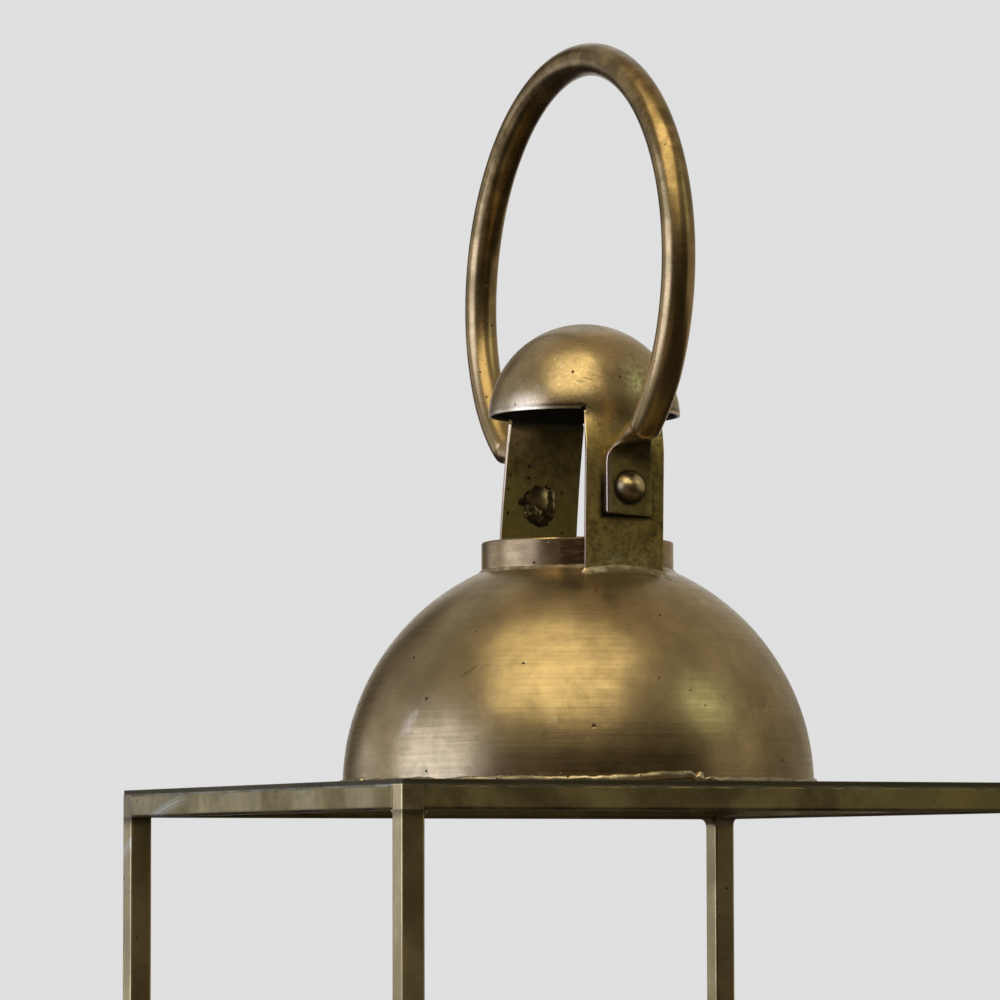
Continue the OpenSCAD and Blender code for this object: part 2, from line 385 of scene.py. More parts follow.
class Skin:
    """The metal's surface while its marks are laid on: where a point is, and its colour and how
    matt it is so far."""

    def __init__(self, where, dust, colour, matt):
        self.where, self.dust, self.colour, self.matt = where, dust, colour, matt
        self.at = parts_of(where)

    def cloud(self, low, high, *grain):
        """Patches of noise, cut off between low and high."""
        return eased(speckle(self.where, *grain), low, high)

    def reach(self, point):
        """How far a point of the surface is from another point."""
        return vector_of("DISTANCE", self.where, point)

    def beside(self, x, z):
        """How far it is from a line that runs through the lantern from front to back."""
        return vector_of("DISTANCE", joined(self.at[0], None, self.at[2]), (x, 0, z))

    def paint(self, colour, share):
        self.colour = blend(self.colour, colour, share)

    def dull(self, share):
        self.matt = most(self.matt, share)

    def polish(self, share):
        self.matt = self.matt * (1 - share)


def aged_brass(name, metal, oxide, bloom, gloss, dull, oxidised=(0.25, 0.75), size=0.05, lines=None,
               centre=(0, 0, 0), pitted=0.12, pit_scale=260, worn=0.0012, dents=0.25, grained=1.0,
               scored=0.15, masked=0.45, bare=(0.80, 0.66, 0.47), extra=None):
    """Brass that has browned: bare metal, a brown oxide film, green bloom, pits and rubbed edges.
    A turned piece has lines, and extra lays on the piece's own marks, among them painted highlights and painted
    shade."""
    made = bpy.data.materials.new(name)
    made.use_nodes = True
    tree = made.node_tree
    where = out_of(place(tree, "TexCoord"), "Object")
    stains = use(tree, tarnish, Vector=where, Size=size)
    dust = out_of(stains, "Dust")
    holes = out_of(use(tree, pits, Vector=where, Scale=pit_scale, Share=pitted))
    marks = out_of(use(tree, scratches, Vector=where, Share=scored))
    edges = out_of(use(tree, rubbing, Reach=worn))
    if lines:
        centred = put(place(tree, "Mapping", vector_type="TEXTURE"), Vector=where, Location=centre)
        grain = out_of(use(tree, turning, Vector=out_of(centred), Round=lines[0], Across=lines[1]))
    else:
        grain = speckle(where, 900.0, 3, 0.7)
    film = out_of(stains, "Blotches") * (oxidised[1] - oxidised[0]) + oxidised[0]
    film = (grain - 0.5) * (0.5 * grained) + film
    rub = edges * eased(dust, 0.0, 0.8, 0.45, 1.0)
    film = held(film - rub * 0.6)
    film = held(film - marks * 0.22)
    shade = eased(speckle(where, 46.0, 5, 0.65), 0.3, 0.7, 0.84, 1.16)
    tone = out_of(place(tree, "CombineColor", shade, shade, shade))
    greened = out_of(stains, "Bloom") * bloom[3]
    skin = Skin(where, dust, blend(blend(metal, oxide, film), tone, 1.0, "MULTIPLY"), most(film, greened))
    skin.paint(bloom[:3], greened)
    skin.paint(bare, rub * 0.6)
    skin.paint((0.012, 0.008, 0.004), holes * 0.85)
    if extra:
        extra(skin)
    rough = skin.matt * (dull - gloss) + gloss
    rough = (grain - 0.5) * (0.22 * grained) + rough
    relief = speckle(where, 75.0, 3, 0.5) * (dents * 8) + grain * ((0.35 if lines else 0.18) * grained)
    relief = relief + holes * -2.4 + marks * -0.35
    bump = put(place(tree, "Bump"), Strength=0.6, Distance=0.00014, Height=relief)
    put(tree.nodes["Principled BSDF"], Specular_IOR_Level=0.2, Base_Color=skin.colour,
        Metallic=held(1 - skin.matt * skin.matt * masked), Roughness=held(holes * 0.3 + rough),
        Normal=out_of(bump))
    return made


def coat(material, *names):
    for name in names:
        nodes[name].material_slots[0].material = material


def smooth(thing, sharp=35):
    thing.data.shade_smooth()
    thing.data.set_sharp_from_angle(angle=math.radians(sharp))
    return thing


def ground_corner(skin):
    """The weld at the back left corner, ground flush in long arcs that left a grain beside them."""
    x, y, z = skin.at
    here = (x < 0.0007 - bar_out) * eased(y, 0.066, 0.100)
    away = vector_of("DISTANCE", joined(None, y, z), (0, 0.060, 0.216))
    arc = faded(abs(away - 0.1800), 0.0008, 0.0034) * here
    thread = eased(speckle(joined(away), 1500, 1), 0.42, 0.60, 0.15, 1)
    skin.paint((0.52, 0.53, 0.47), arc * thread)
    grit = here * eased(z, rail_under - 0.001, rail_under + 0.0005) * skin.cloud(0.38, 0.62, 1500, 2, 0.6)
    skin.paint((0.30, 0.27, 0.19), grit * 0.4)


def post_marks(skin):
    """At the top the posts are filed in one with the rails, except the front post's left side. Just under the
    rails a dark band is painted on as shade.
    """
    x, y, z = skin.at
    kept = (x < 0.0004 - bar_out) * (y < -0.13)
    top = eased(z, rail_under - 0.0025, rail_under + 0.0005) * (1 - kept)
    filed = blend((0.21, 0.175, 0.10), (0.065, 0.052, 0.02), skin.cloud(0.35, 0.65, 60, 4))
    skin.paint(filed, top * 0.85)
    skin.dull(top * 0.6)
    # Painted shade: a dark band on the posts just under the rails.
    shaded = band(z, rail_under - 0.005, rail_under - 0.0005, rail_under, rail_under + 0.0004)
    skin.paint((0.012, 0.008, 0.002), shaded * 0.6)
    ground_corner(skin)


def rail_marks(skin):
    """The rails are painted darker along their lower edge, as shade."""
    # Painted shade: the dark band along the rails' lower edge.
    shade_below = faded(skin.at[2], rail_under + 0.0008, rail_under + 0.0018)
    skin.paint((0.060, 0.043, 0.022), shade_below * 0.6)
    ground_corner(skin)


post_brass = aged_brass(
    "post_brass", (0.62, 0.495, 0.265), (0.080, 0.056, 0.010), (0.12, 0.12, 0.045, 0.4), 0.24, 0.42,
    oxidised=(0.25, 0.50), size=0.06, pitted=0.03, dents=0.15, grained=0.25, scored=0.05, masked=0.9,
    extra=post_marks)
rail_brass = aged_brass(
    "rail_brass", (0.43, 0.355, 0.185), (0.120, 0.092, 0.022), (0.19, 0.185, 0.080, 0.7), 0.30, 0.48,
    oxidised=(0.22, 0.85), size=0.04, pitted=0.05, dents=0.15, grained=0.5, scored=0.05, masked=0.8,
    extra=rail_marks)
coat(post_brass, "post_front_left", "post_front_right", "post_back_left", "post_back_right")
for side in ("front", "back", "left", "right"):
    coat(rail_brass, "top_rail_" + side, "bottom_rail_" + side)

# Braze in the frame's corners
# Brass filler run into the inner corners under the top rails. It leaves a small hollow fillet on
# each side of a post; the back left corner was filed clean.
leg, web = 0.0031, 0.0088
braze = bmesh.new()
for side_x, side_y in ((-1, -1), (1, -1), (1, 1)):
    for along_x in (True, False):
        heel = bmesh.ops.create_vert(braze, co=(0, 0, 0))["vert"]
        toe = bmesh.ops.create_vert(braze, co=(leg, 0, 0))["vert"]
        bmesh.ops.spin(braze, geom=toe, axis=(0, 1, 0), cent=(leg, 0, -leg), angle=math.radians(-90), steps=6)
        hollow = [v for v in braze.verts if v.link_edges and not v.link_faces]
        face = braze.faces.new([heel[0], *sorted(hollow, key=lambda v: v.co.x)])
        pulled = bmesh.ops.extrude_face_region(braze, geom=[face])["geom"]
        bmesh.ops.translate(braze, verts=verts_of(pulled), vec=(0, web, 0))
        whole = list({v for f in braze.faces for v in f.verts if not f.tag})
        if along_x:
            turn, spot = 0 if side_x < 0 else 180, (side_x * post_in, side_y * bar_mid, rail_under)
        else:
            turn, spot = 90 if side_y < 0 else -90, (side_x * bar_mid, side_y * post_in, rail_under)
        bmesh.ops.transform(braze, verts=whole, matrix=Matrix.Translation(spot)
                            @ turned(turn, "Z")
                            @ Matrix.Translation((0, -web / 2, 0)))
        for f in braze.faces:
            f.tag = True


def swell(shape, verts, amount, grain):
    """Pushes the skin in and out a little, as poured or hammered metal sets."""
    shape.normal_update()
    for v in verts:
        v.co += v.normal * amount * (noise.noise(v.co * grain) + 0.5 * noise.noise(v.co * grain * 2.7))


def long_edges(shape, length):
    return [e for e in shape.edges if e.calc_length() > length]


bmesh.ops.remove_doubles(braze, verts=braze.verts[:], dist=0.00001)
bmesh.ops.recalc_face_normals(braze, faces=braze.faces[:])
bmesh.ops.subdivide_edges(braze, edges=long_edges(braze, 0.006), cuts=5)
swell(braze, braze.verts, 0.00022, 420)
braze_brass = aged_brass(
    "braze_brass", (0.55, 0.46, 0.31), (0.10, 0.078, 0.03), (0.17, 0.18, 0.12, 0.6), 0.3, 0.55,
    oxidised=(0.2, 0.7), size=0.02, pitted=0.3, pit_scale=700)
corner_braze = smooth(stood("corner_braze", braze, braze_brass), 50)
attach(corner_braze, "lantern")

# Filler in the butt joints
# The bar's rounded edges leave a groove beside each rail's end. It is run full and filed flush,
# except on the left of the front post.
filler = bmesh.new()
fill_w, fill_d, fill_h, flush = 0.0030, 0.0014, 0.0089, bar_out - 0.00003


def quarter_block(shape, quarter, spot, size):
    """A block at the front of the frame, turned by quarters to one of its sides."""
    block = bmesh.ops.create_cube(shape, size=1)["verts"]
    bmesh.ops.transform(shape, verts=block, matrix=turned(90 * quarter, "Z")
                        @ Matrix.Translation(spot) @ Matrix.Diagonal((*size, 1)))


for quarter in range(4):
    for side in (-1, 1):
        if (quarter, side) != (3, 1):
            quarter_block(filler, quarter, (side * post_in, fill_d / 2 - flush, rail_under + 0.0049),
                          (fill_w, fill_d, fill_h))
joint_filler = stood("joint_filler", filler, rail_brass)
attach(joint_filler, "lantern")

# Roof sheet
# Flat brass sheet laid on the frame and soldered all round. It has a round hole under the dome,
# and its sheared edge is dark.


def cut_edge(skin):
    x, y, z = skin.at
    edge = (most(abs(x), abs(y)) > bar_out - 0.0006) * 0.85
    skin.paint((0.040, 0.034, 0.018), edge)
    skin.dull(edge)


roof_brass = aged_brass(
    "roof_brass", (0.38, 0.31, 0.19), (0.080, 0.062, 0.025), (0.14, 0.15, 0.09, 0.5), 0.34, 0.55,
    oxidised=(0.35, 0.9), size=0.07, extra=cut_edge)
coat(roof_brass, "roof_plate")

# Solder along the roof's edge
# The groove between sheet and rails is filled with solder, which is filed flush with the bar and
# stays a little uneven.
strips = bmesh.new()
for quarter in range(4):
    quarter_block(strips, quarter, (0, 0.00065 - bar_out, 0.3974), (0.281, 0.0012, 0.0024))
bmesh.ops.subdivide_edges(strips, edges=long_edges(strips, 0.2), cuts=110)
bmesh.ops.bevel(strips, geom=[e for e in strips.edges if e.calc_face_angle(0) > 1], offset=0.0003, segments=2,
                affect="EDGES", profile=0.5, material=-1)
swell(strips, strips.verts, 0.00030, 160)
outermost = bar_out - 0.00002
for v in strips.verts:
    v.co.x = max(-outermost, min(outermost, v.co.x))
    v.co.y = max(-outermost, min(outermost, v.co.y))
seam_solder = aged_brass(
    "seam_solder", (0.38, 0.36, 0.28), (0.105, 0.092, 0.042), (0.30, 0.34, 0.26, 0.9), 0.34, 0.55,
    oxidised=(0.25, 0.9), size=0.03, pitted=0.25, pit_scale=420)
edge_solder = smooth(stood("edge_solder", strips, seam_solder), 50)
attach(edge_solder, "lantern")

# Dome
# Brass sheet spun over a round former, so that fine lines run round it, then browned. It stands
# on the roof sheet and is soldered to it.
dome_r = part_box("dome")[1].x
roof_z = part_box("dome")[0].z


def mark(skin, first, last, wide, ragged=0.0):
    """A narrow mark between two points of the surface."""
    span = (Vector(last) - Vector(first)).length
    edge = 2 * math.sqrt(span * span / 4 + wide * wide / 4) - span
    past = skin.reach(first) + skin.reach(last) - span
    if ragged:
        past = speckle(skin.where, 420, 3, 0.7) * ragged + past
    return faded(past, edge * 0.4, edge * 1.2)


def dome_marks(skin):
    """A pale foot, wiped smears, a tick, residue and a drip of solder at the front strap, a
    scratch and a few single pits."""
    x, y, z = skin.at
    foot = faded(z, roof_z, roof_z + 0.012)
    pale = foot * foot * eased(skin.dust, 0.1, 0.9)
    skin.paint((0.30, 0.27, 0.18), pale * 0.5)
    smear = skin.cloud(0.64, 0.72, 62, 3, 0.6, 0.6) * faded(x, -0.06, -0.03)
    wiped = mark(skin, (-0.0940, -0.0270, 0.4205), (-0.0905, -0.0325, 0.4300), 0.0120, 0.0060)
    tick = mark(skin, (-0.0738, -0.0036, 0.4673), (-0.0696, -0.0036, 0.4732), 0.0016, 0.00015)
    skin.paint((0.62, 0.57, 0.48), most(smear, wiped, tick) * 0.24)
    left_over = mark(skin, (0.0000, -0.0505, 0.4880), (0.0115, -0.0495, 0.4868), 0.0065, 0.0026)
    skin.paint((0.46, 0.45, 0.32), left_over * 0.6)
    drip = mark(skin, (-0.0186, -0.0540, 0.4830), (-0.0200, -0.0590, 0.4785), 0.0034, 0.0007)
    skin.paint((0.26, 0.12, 0.035), drip * 0.6)
    scored = mark(skin, (-0.0778, -0.0466, 0.4434), (-0.0700, -0.0522, 0.4497), 0.0008)
    for pit in ((0.0053, -0.0929, 0.4381), (0.0113, -0.0947, 0.4319),
                (0.0020, -0.0938, 0.4340), (0.0162, -0.0938, 0.4350)):
        scored = most(scored, mark(skin, pit, Vector(pit) + Vector((0.0012, 0, 0.0003)), 0.0011))
    skin.paint((0.06, 0.04, 0.015), scored * 0.6)
    skin.matt = held(pale * 0.3 + skin.matt)


spun_brass = aged_brass(
    "spun_brass", (0.47, 0.355, 0.20), (0.115, 0.080, 0.028), (0.13, 0.125, 0.050, 0.3), 0.26, 0.40,
    oxidised=(0.10, 0.60), size=0.075, lines=(1.3, 620), centre=(0, 0, 0.4), pitted=0.04,
    pit_scale=300, dents=0.12, scored=0.05, masked=0.4, extra=dome_marks)
coat(spun_brass, "dome")

# Solder round the dome's foot
# A ragged bead of soft solder between dome and roof, with five thick drops. In front it has
# pulled off the roof and stands up in a thin lip.
bead = bmesh.new()


def turn_about(shape, geom, steps, near=0.00001):
    """Turns an outline once round the lantern's upright axis."""
    bmesh.ops.spin(shape, geom=geom, axis=(0, 0, 1), cent=(0, 0, 0), angle=math.tau, steps=steps,
                   use_merge=True)
    bmesh.ops.remove_doubles(shape, verts=shape.verts[:], dist=near)


bmesh.ops.create_circle(bead, segments=12, radius=1)
bmesh.ops.transform(bead, verts=bead.verts[:],
                    matrix=Matrix.Translation((dome_r + 0.0001, 0, roof_z + 0.0009))
                    @ turned(90, "X") @ Matrix.Diagonal((0.0010, 0.0019, 1, 1)))
turn_about(bead, bead.edges[:], 420)
bmesh.ops.recalc_face_normals(bead, faces=bead.faces[:])
swell(bead, bead.verts, 0.0011, 70)
swell(bead, bead.verts, 0.0004, 420)
lip_high, lip_at, lip_before, lip_after = 0.0024, -89, 22, 2.5
for v in bead.verts:
    past = math.degrees(math.atan2(v.co.y, v.co.x)) - lip_at
    lift = 1 + past / lip_before if past < 0 else 1 - past / lip_after
    v.co.z = max(roof_z, v.co.z) + lip_high * max(0.0, lift)
drops = ((179.8, 0.0021), (-138, 0.0017), (-86.6, 0.0029), (40, 0.0020), (115, 0.0024))
for turn, size in drops:
    out = Vector((math.cos(math.radians(turn)), math.sin(math.radians(turn)), 0)) * (dome_r + 0.0002)
    drop = bmesh.ops.create_icosphere(bead, subdivisions=4, radius=size)["verts"]
    for v in drop:
        v.co = Vector((v.co.x * 0.75, v.co.y * 0.75, v.co.z)) + out + Vector((0, 0, roof_z + size * 0.6))
    swell(bead, drop, size * 0.18, 500)
for v in bead.verts:
    v.co.z = max(roof_z, v.co.z)
solder = aged_brass(
    "solder", (0.50, 0.43, 0.30), (0.13, 0.105, 0.06), (0.22, 0.23, 0.15, 0.5), 0.28, 0.55,
    oxidised=(0.15, 0.85), size=0.015, pitted=0.25, pit_scale=500, dents=0.5)
dome_solder = smooth(stood("dome_solder", bead, solder), 60)
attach(dome_solder, "lantern")

# Chimney collar
# A short turned tube let into the top of the dome, its lip rounded over. The brazing flame left
# dark red-brown streaks on it beside the front strap.
collar_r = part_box("chimney_collar")[1].x


def collar_marks(skin):
    x, y, z = skin.at
    beside = band(x, -0.0275, -0.0235, -0.014, -0.010) * (y < 0)
    streak = eased(speckle(joined(x, None, z * 6), 130, 3, 0.6), 0.34, 0.50, 0.2, 1)
    dark = most(beside, 0.22) * streak * 0.95
    skin.paint((0.045, 0.018, 0.007), dark)
    foot = faded(z, roof_z + 0.0905, roof_z + 0.0922) * 0.75
    skin.paint((0.030, 0.018, 0.008), foot)
    skin.dull(most(dark, foot))


collar_brass = aged_brass(
    "collar_brass", (0.47, 0.335, 0.180), (0.12, 0.080, 0.036), (0.24, 0.23, 0.17, 0.4), 0.28, 0.42,
    oxidised=(0.05, 0.42), size=0.03, lines=(2.0, 900), centre=(0, 0, 0.4), pitted=0.1, pit_scale=500,
    extra=collar_marks)
coat(collar_brass, "chimney_collar")

# Brazed joint of collar and straps
# A thin ring of brass holds the collar and runs out on the dome. A wider patch lies before each
# strap's foot, with pale flux left on it.
joint = bmesh.new()
joint_in, joint_step, joint_wide, joint_high = collar_r - 0.0002, 0.0005, 0.0026, 0.0010
foot_mid, foot_out, foot_wide, foot_deep, foot_high = 0.0008, 0.0427, 0.0415, 0.0042, 0.0016


def on_dome(x, y, above=0.0):
    """The height of the dome's skin, or of a point that far above it."""
    return roof_z + math.sqrt(max(0.0, dome_r ** 2 - x * x - y * y)) + above


def face_up(shape):
    bmesh.ops.recalc_face_normals(shape, faces=shape.faces[:])
    if sum(f.normal.z * f.calc_area() for f in shape.faces) < 0:
        bmesh.ops.reverse_faces(shape, faces=shape.faces[:])


newest = bmesh.ops.create_vert(joint, co=(joint_in, 0, 0))["vert"]
for step in range(7):
    newest = bmesh.ops.extrude_vert_indiv(joint, verts=newest)["verts"]
    newest[0].co.x += joint_step
turn_about(joint, joint.verts[:] + joint.edges[:], 300)
for v in joint.verts:
    share = min(1.0, (Vector((v.co.x, v.co.y)).length - joint_in) / joint_wide)
    patch = max(0.2, 1 + 0.6 * noise.noise(v.co * 60) + 0.25 * noise.noise(v.co * 300))
    v.co.z = on_dome(v.co.x, v.co.y, (joint_high * (1 - share) ** 2 - 0.0001 * share) * patch)
for side in (-1, 1):
    sheet_foot = bmesh.ops.create_grid(joint, x_segments=72, y_segments=8, size=0.5)["verts"]
    for v in sheet_foot:
        along, share = v.co.x * foot_wide, v.co.y + 0.5
        patch = 1 + 0.6 * noise.noise(Vector((along * 90, side, share)))
        patch = max(0.15, patch + 0.3 * noise.noise(Vector((along * 380, side, share * 2))))
        ends = min(1.0, max(0.0, (0.0205 - abs(along)) / 0.0022))
        y = side * (foot_out + foot_deep * share)
        above = (foot_high * (1 - share) ** 2 - 0.00012 * share) * patch * ends
        v.co = (foot_mid + along, y, on_dome(along, y, above))
face_up(joint)


def residue(skin):
    pale = skin.cloud(0.46, 0.62, 170, 4, 0.7)
    at_strap = eased(abs(skin.at[1]), 0.0385, 0.0420, 0.2, 0.6)
    skin.paint((0.30, 0.31, 0.22), pale * at_strap)
    skin.dull(pale)


joint_brass = aged_brass(
    "joint_brass", (0.60, 0.49, 0.34), (0.09, 0.058, 0.022), (0.22, 0.23, 0.15, 0.5), 0.30, 0.5,
    oxidised=(0.0, 0.7), size=0.02, pitted=0.2, pit_scale=600, dents=0.4, extra=residue)
collar_solder = smooth(stood("collar_solder", joint, joint_brass), 60)
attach(collar_solder, "lantern")

# Cap and straps
# One piece of 1.6 mm sheet: a domed cap whose two straps run down from its rim, are flattened
# and stand on the dome. Small relief holes are drilled where the straps leave the rim.
cap_x, cap_rim, cap_r, sheet = 0.0035, roof_z + 0.1588, 0.0412, 0.0016
strap_x, strap_out, strap_half, flat_top = 0.0008, 0.0429, 0.01825, roof_z + 0.142
strap_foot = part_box("chimney_cap")[0].z
tab_x, tab_in, tab_out, tab_half = 0.0017, 0.0430, 0.0464, 0.0106
tab_low, tab_top, rivet_z = roof_z + 0.1136, roof_z + 0.142, roof_z + 0.125
cap_mid, cap_steps, strap_rows, early = cap_rim - 0.0015, 144, 30, 0.62
shell = bmesh.new()


def draw_out(shape, edges):
    """Draws a strip out of some edges. Gives its new points, each with the one that it came from,
    and its new edges."""
    strip = bmesh.ops.extrude_edge_only(shape, edges=edges)["geom"]
    fresh = verts_of(strip)
    came = {v: next(e.other_vert(v) for e in v.link_edges if e.other_vert(v) not in fresh) for v in fresh}
    return came, [e for e in strip if isinstance(e, bmesh.types.BMEdge) and all(v in fresh for v in e.verts)]


rim_rise = math.asin((cap_rim - cap_mid) / cap_r)
seed = bmesh.ops.create_vert(shell, co=(cap_r, 0, 0))["vert"]
bmesh.ops.rotate(shell, verts=seed, cent=(0, 0, 0), matrix=Matrix.Rotation(-rim_rise, 3, "Y"))
bmesh.ops.spin(shell, geom=seed, axis=(0, -1, 0), cent=(0, 0, 0), angle=math.pi / 2 - rim_rise, steps=28)
turn_about(shell, shell.verts[:] + shell.edges[:], cap_steps, 0.00002)
low = min(v.co.z for v in shell.verts)
rim = [e for e in shell.edges if all(v.co.z < low + 0.00001 for v in e.verts)]
for v in {v for e in rim for v in e.verts}:
    if abs(abs(v.co.x) - strap_half) < cap_r * math.tau / cap_steps * 0.46:
        v.co.x = math.copysign(strap_half, v.co.x)
        v.co.y = math.copysign(math.sqrt(cap_r ** 2 - strap_half ** 2 - low ** 2), v.co.y)
for side in (-1, 1):
    hem = [e for e in rim if all(abs(v.co.x) < strap_half + 0.00002 and v.co.y * side > 0 for v in e.verts)]
    start = {}
    for row in range(1, strap_rows + 1):
        came, hem = draw_out(shell, hem)
        down = row / strap_rows
        fall = min(1.0, (cap_rim - strap_foot) * down / (cap_rim - flat_top + 0.003))
        flat = fall * fall * (3 - 2 * fall) if side < 0 else 1 - (1 - down) ** 2.2
        lean = (strap_x - cap_x) * (early * flat + (1 - early) * down if side < 0 else down)
        for v, back in came.items():
            above = start[v] = start.get(back, back.co.copy())
            out = side * strap_out * flat + above.y * (1 - flat)
            v.co = Vector((above.x + lean, out, low - (cap_rim - strap_foot) * down))
bmesh.ops.translate(shell, verts=shell.verts[:], vec=(cap_x, 0, cap_mid))
for v in shell.verts:
    if v.co.z < roof_z + 0.1:
        v.co.z = max(v.co.z, on_dome(v.co.x, v.co.y))
face_up(shell)
bmesh.ops.solidify(shell, geom=shell.faces[:], thickness=sheet)
bmesh.ops.recalc_face_normals(shell, faces=shell.faces[:])
black = (0.006, 0.004, 0.001)


def cap_marks(skin):
    """The straps are olive, with painted shadow round the tabs, a burnt patch inside, and bare cut sides that are
    painted bright on the left as a highlight. Inside, the straps are lighter below the bend and left dark above
    it as painted shade. The cap is nearly black inside, dusty on the left, with a painted green reflection on the
    right and a painted dark groove above its rim; its rim is rubbed and carries a painted highlight, brightest at
    the left."""
    x, y, z = skin.at
    rise = z - cap_rim
    low = faded(rise, -0.018, 0.008)
    skin.paint(blend((0.320, 0.240, 0.060), (0.060, 0.042, 0.006), skin.cloud(0.32, 0.68, 220, 6, 0.85)),
               low * 0.85)
    skin.dull(low * 0.8)
    foot = faded(z, roof_z + 0.0920, roof_z + 0.1010)
    foot = foot * eased(x, -0.012, -0.004, 0.4, 1) * eased(x, 0.009, 0.015, 1, 0.2)
    pale = foot * skin.cloud(0.47, 0.60, 330, 5, 0.8, 0.1)
    skin.paint((0.46, 0.43, 0.26), pale * 0.65)
    # Painted shadow: a black band round each tab on the strap's outer face, fading out towards the top.
    past_end = abs(z - (tab_low + tab_top) / 2) - (tab_top - tab_low) / 2
    past_tab = most(abs(x - tab_x) - tab_half, past_end)
    outer = abs(y) > strap_out - 0.0004
    painted_shadow = band(past_tab, -0.0016, -0.0002, 0.0005, 0.0028) * outer
    skin.paint(black, painted_shadow * faded(z, roof_z + 0.1255, roof_z + 0.1345) * 0.95)
    # Inside the straps, the olive patina is laid only below the bend; the part above is left dark as painted
    # shade.
    inner = 1 - outer
    below_bend = faded(z, flat_top - 0.014, flat_top - 0.001)
    skin.paint((0.40, 0.32, 0.095), inner * below_bend * 0.42)
    away = speckle(skin.where, 150, 4, 0.65) * 0.021 + skin.beside(-0.0008, roof_z + 0.1258)
    holed = out_of(use(skin.where.socket.id_data, pits, Vector=skin.where, Scale=310, Share=0.3))
    skin.paint(black, most(faded(away, 0.0152, 0.0164) * inner, holed * inner * low) * 0.9)
    dusty = skin.cloud(0.56, 0.66, 760, 3, 0.7) * eased(x, -0.022, 0.004, 1, 0.1)
    skin.paint((0.56, 0.48, 0.38), dusty * eased(rise, 0, 0.003) * 0.45)
    strap = most(abs(x - cap_x) < strap_half + 0.0004, rise < -0.0008) * (abs(y) > 0.03)
    on_rim = 1 - strap
    # Painted shade: a dark line above the rim stands in for the shade in a groove that is not modelled.
    groove_shade = band(rise, 0.0008, 0.0014, 0.0018, 0.0030) * on_rim
    skin.paint((0.030, 0.018, 0.008), groove_shade * 0.65)
    # The bright line along the rim's edge is rubbed metal and a painted highlight of its bead.
    worn_lip_highlight = faded(rise, 0.0006, 0.0012) * on_rim
    skin.paint((0.72, 0.60, 0.42), worn_lip_highlight * 0.75)
    # Painted reflection: the pale green patch on the right of the cap is the right window's reflection, painted
    # on.
    right = eased(x, 0.001, 0.009) * skin.cloud(0.34, 0.62, 420, 5, 0.75) * (y < 0)
    right = right * band(rise, 0.003, 0.011, 0.017, 0.028)
    skin.paint((0.64, 0.60, 0.33), right * 0.62)
    for x0, y0, z0 in ((0, 0, 0), (0.0025, -0.001, -0.0017), (-0.003, 0.001, -0.0010), (0.0045, -0.0010, 0.0010)):
        scratch = mark(skin, (x0 - 0.0150, y0 - 0.0342, z0 + 0.5722), (x0 - 0.0095, y0 - 0.0364, z0 + 0.5706),
                       0.0011, 0.00003)
        skin.paint((0.05, 0.035, 0.012), scratch * 0.45)
    # The straps' left cut sides are bare metal and are painted pale pink as a painted highlight from the left.
    down = rise / (strap_foot - cap_rim)
    ahead = (faded(z, flat_top - 0.003, cap_rim) - down) * (y < 0)
    strap_left = (ahead * early + down) * (strap_x - cap_x) + (cap_x - strap_half + 0.0003)
    bare_side_highlight = (x < strap_left) * strap * (rise < -0.0003)
    skin.paint((0.70, 0.54, 0.43), bare_side_highlight * 0.85)
    skin.polish(bare_side_highlight * 0.8)
    skin.polish(right * 0.3)
    # The pale band low on the left of the cap is rubbed metal and a painted highlight.
    bare = eased(x, -0.036, -0.026, 0.7, 0) * faded(rise, 0, 0.010)
    skin.paint((0.76, 0.64, 0.47), bare * 0.8)
    skin.polish(bare * 0.8)
    # The inside of the cap is painted nearly black.
    black_inside = (skin.reach((cap_x, 0, cap_mid)) < cap_r - 0.0012) * eased(rise, -0.006, 0.001)
    skin.paint((0.004, 0.003, 0.002), black_inside * 0.97)
    skin.dull(most(pale, black_inside * 1.35))


cap_brass = aged_brass(
    "cap_brass", (0.48, 0.36, 0.20), (0.085, 0.058, 0.018), (0.14, 0.13, 0.06, 0.35), 0.28, 0.44,
    oxidised=(0.12, 0.7), size=0.045, pitted=0.10, pit_scale=430, dents=0.3, scored=0.05, masked=0.6,
    worn=0.0007, extra=cap_marks)
cap = smooth(stood("chimney_cap_sheet", shell, cap_brass), 40)
hole = bmesh.new()
for side in (-1, 1):
    drill = bmesh.ops.create_cone(hole, cap_ends=True, segments=24, radius1=0.0011, radius2=0.0011, depth=0.1)
    bmesh.ops.transform(hole, verts=drill["verts"],
                        matrix=Matrix.Translation((cap_x + side * strap_half, 0, cap_rim))
                        @ turned(90, "X"))
drills = stood("relief_drills", hole, cap_brass)
cut = cap.modifiers.new("drilled", "BOOLEAN")
cut.operation, cut.object, cut.solver = "DIFFERENCE", drills, "EXACT"
softened = cap.modifiers.new("filed", "BEVEL")
softened.width, softened.segments, softened.limit_method = 0.00035, 2, "ANGLE"
softened.angle_limit = math.radians(50)


def settle(thing):
    """Makes the modifiers' result the piece's own mesh."""
    done = bpy.data.meshes.new_from_object(thing.evaluated_get(bpy.context.evaluated_depsgraph_get()))
    thing.modifiers.clear()
    thing.data = done


settle(cap)
bpy.data.objects.remove(drills)
smooth(cap, 40)
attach(cap, "lantern")
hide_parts("chimney_cap")

# Rivets
# Round-headed brass rivets through tab and strap. Only the crown of a head is rubbed; its skirt is painted dark
# as shade, most of all below.


def rivet_marks(skin):
    # Painted shade: the skirt of the head is darkened, most of all below.
    skirt_shade = eased(skin.beside(tab_x, rivet_z + 0.0012), 0.0038, 0.0072)
    skirt_shade = skirt_shade * eased(skin.at[2], rivet_z - 0.0015, rivet_z + 0.0035, 0.9, 0.45)
    skin.paint((0.030, 0.018, 0.006), skirt_shade)
    skin.dull(skirt_shade * 0.7)


